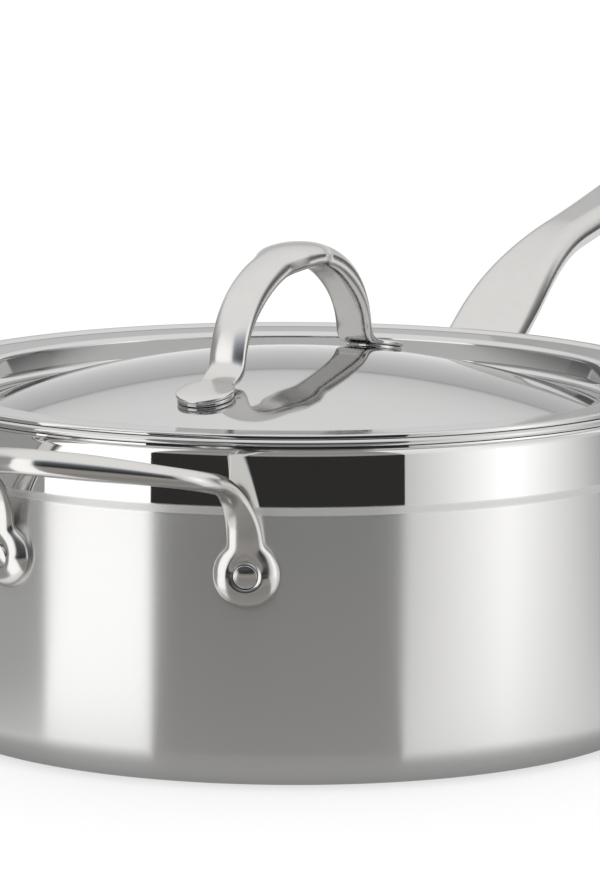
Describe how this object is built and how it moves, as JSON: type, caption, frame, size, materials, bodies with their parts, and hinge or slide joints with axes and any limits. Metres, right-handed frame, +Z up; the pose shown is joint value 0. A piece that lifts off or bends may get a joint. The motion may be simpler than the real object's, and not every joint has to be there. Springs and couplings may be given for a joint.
{
  "type": "covered saucepan",
  "caption": "Clad-steel saucepan with a long cast handle, a riveted helper loop handle opposite, a pouring lip and a lift-off domed lid with an arched strap handle.",
  "frame": {"origin": "centre of the flat base, on the surface that the pan stands on", "axes": "+Z up, +X along the long handle, -X towards the helper handle"},
  "size_m": [0.4848, 0.2328, 0.1436],
  "materials": {
    "brushed_steel": "brushed round the wall, with a mirror-polished band under the lip",
    "aluminium": "plain rolled core, sealed between the steel plies",
    "polished_cast_steel": "mirror-polished stainless steel casting",
    "polished_sheet_steel": "mirror-polished stainless steel sheet"
  },
  "bodies": {
    "pan": {"outer_steel_ply": "brushed_steel", "aluminium_core": "aluminium", "inner_steel_ply": "brushed_steel", "helper_handle": "polished_cast_steel", "long_handle": "polished_cast_steel", "helper_rivet_right": "polished_cast_steel", "helper_rivet_left": "polished_cast_steel", "long_handle_rivet_right": "polished_cast_steel", "long_handle_rivet_left": "polished_cast_steel"},
    "lid": {"lid_shell": "polished_sheet_steel", "lid_handle": "polished_cast_steel", "lid_handle_boss_far": "polished_sheet_steel", "lid_handle_boss_near": "polished_sheet_steel", "lid_handle_stud_far": "polished_sheet_steel", "lid_handle_stud_near": "polished_sheet_steel"}
  },
  "joints": [
    {"name": "lid_lift", "type": "slide", "parent": "pan", "child": "lid", "axis": [0, 0, 1], "range_m": [0, 0.12]}
  ]
}
